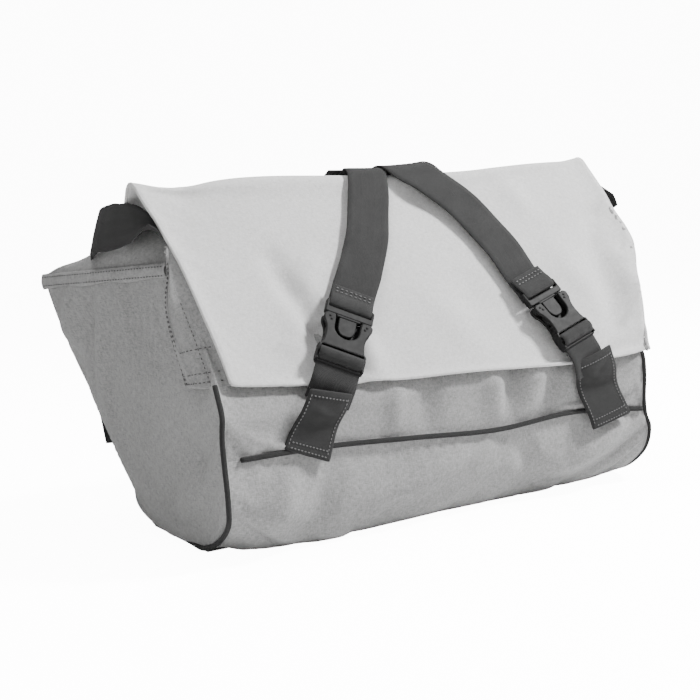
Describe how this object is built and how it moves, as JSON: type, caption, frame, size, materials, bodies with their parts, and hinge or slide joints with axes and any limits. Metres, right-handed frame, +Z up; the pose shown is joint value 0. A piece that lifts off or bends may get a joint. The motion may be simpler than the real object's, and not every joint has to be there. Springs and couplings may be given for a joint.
{
  "type": "courier mail sack",
  "caption": "Soft canvas courier's mail sack with an over-the-top flap, webbing closure straps, side-release buckles and a shoulder strap.",
  "frame": {"origin": "on the floor under the flat base, below the middle of the sack's length", "axes": "+X runs along the sack to the wearer's right, +Y to the back, +Z up"},
  "size_m": [0.5394, 0.2983, 0.3274],
  "materials": {
    "body_canvas": "mid grey plain-weave canvas",
    "flap_canvas": "light grey plain-weave canvas",
    "webbing": "dark grey herringbone webbing",
    "sleeve_cloth": "dark grey twill",
    "piping": "dark woven binding over cord",
    "buckle_plastic": "near-black moulded plastic, satin gloss"
  },
  "bodies": {
    "sack": {"bottom_panel": "body_canvas", "front_lower_panel": "body_canvas", "front_upper_panel": "body_canvas", "rear_panel": "body_canvas", "left_end_panel": "body_canvas", "right_end_panel": "body_canvas", "left_end_hem": "body_canvas", "right_end_hem": "body_canvas", "left_end_piping": "piping", "right_end_piping": "piping", "front_seam_piping": "piping", "left_storm_collar": "body_canvas", "right_storm_collar": "body_canvas", "left_strap_anchor": "webbing", "right_strap_anchor": "webbing", "left_anchor_sleeve": "sleeve_cloth", "right_anchor_sleeve": "sleeve_cloth"},
    "flap": {"flap_panel": "flap_canvas", "left_closure_strap": "webbing", "right_closure_strap": "webbing", "closure_strap_patch": "webbing"},
    "left_wing": {"left_flap_wing": "flap_canvas"},
    "right_wing": {"right_flap_wing": "flap_canvas"},
    "left_plug": {"left_buckle_plug": "buckle_plastic", "left_strap_loop": "webbing"},
    "left_latch_a": {"left_buckle_left_prong": "buckle_plastic"},
    "left_latch_b": {"left_buckle_right_prong": "buckle_plastic"},
    "left_socket": {"left_buckle_socket": "buckle_plastic", "left_lower_webbing": "webbing"},
    "right_plug": {"right_buckle_plug": "buckle_plastic", "right_strap_loop": "webbing"},
    "right_latch_a": {"right_buckle_left_prong": "buckle_plastic"},
    "right_latch_b": {"right_buckle_right_prong": "buckle_plastic"},
    "right_socket": {"right_buckle_socket": "buckle_plastic", "right_lower_webbing": "webbing"},
    "shoulder_strap": {"shoulder_strap": "webbing"},
    "slider": {"shoulder_strap_slider": "buckle_plastic", "shoulder_strap_tail": "webbing"}
  },
  "joints": [
    {"name": "flap_hinge", "type": "hinge", "parent": "sack", "child": "flap", "pos_m": [0, 0.152, 0.2535], "axis": [-1, 0, 0], "range_deg": [0, 150]},
    {"name": "left_wing_fold", "type": "hinge", "parent": "flap", "child": "left_wing", "pos_m": [-0.23067, -0.1086, 0.148], "axis": [-0.1372, 0.5474, 0.8255], "range_deg": [0, 80]},
    {"name": "right_wing_fold", "type": "hinge", "parent": "flap", "child": "right_wing", "pos_m": [0.23067, -0.1086, 0.148], "axis": [-0.1372, -0.5474, -0.8255], "range_deg": [0, 80]},
    {"name": "left_buckle_release", "type": "slide", "parent": "flap", "child": "left_plug", "axis": [0.5, 0.4786, 0.7218], "range_m": [0, 0.03], "deforming": ["left_buckle_left_prong", "left_buckle_right_prong"]},
    {"name": "left_latch_a_squeeze", "type": "hinge", "parent": "left_plug", "child": "left_latch_a", "pos_m": [-0.10115, -0.09242, 0.19408], "axis": [0, -0.8334, 0.5526], "range_deg": [0, 6], "stiffness_Nm_per_rad": 0.4},
    {"name": "left_latch_b_squeeze", "type": "hinge", "parent": "left_plug", "child": "left_latch_b", "pos_m": [-0.07725, -0.10005, 0.18258], "axis": [0, 0.8334, -0.5526], "range_deg": [0, 6], "stiffness_Nm_per_rad": 0.4},
    {"name": "left_socket_drop", "type": "hinge", "parent": "sack", "child": "left_socket", "pos_m": [-0.12, -0.12738, 0.14498], "axis": [0.866, -0.2763, -0.4167], "range_deg": [0, 172]},
    {"name": "right_buckle_release", "type": "slide", "parent": "flap", "child": "right_plug", "axis": [-0.3256, 0.5225, 0.788], "range_m": [0, 0.03], "deforming": ["right_buckle_left_prong", "right_buckle_right_prong"]},
    {"name": "right_latch_a_squeeze", "type": "hinge", "parent": "right_plug", "child": "right_latch_a", "pos_m": [0.10915, -0.10087, 0.18134], "axis": [0, -0.8334, 0.5526], "range_deg": [0, 6], "stiffness_Nm_per_rad": 0.4},
    {"name": "right_latch_b_squeeze", "type": "hinge", "parent": "right_plug", "child": "right_latch_b", "pos_m": [0.13525, -0.09591, 0.18883], "axis": [0, 0.8334, -0.5526], "range_deg": [0, 6], "stiffness_Nm_per_rad": 0.4},
    {"name": "right_socket_drop", "type": "hinge", "parent": "sack", "child": "right_socket", "pos_m": [0.14226, -0.13224, 0.13765], "axis": [0.9455, 0.1799, 0.2713], "range_deg": [0, 172]},
    {"name": "shoulder_strap_swing", "type": "hinge", "parent": "sack", "child": "shoulder_strap", "pos_m": [0, 0.1589, 0.246], "axis": [1, 0, 0], "range_deg": [0, 180]},
    {"name": "slider_travel", "type": "slide", "parent": "shoulder_strap", "child": "slider", "axis": [0, 0, -1], "range_m": [0, 0.011]}
  ],
  "couplings": [
    {"joint": "left_latch_b_squeeze", "follows": "left_latch_a_squeeze", "ratio": 1},
    {"joint": "right_latch_b_squeeze", "follows": "right_latch_a_squeeze", "ratio": 1}
  ]
}
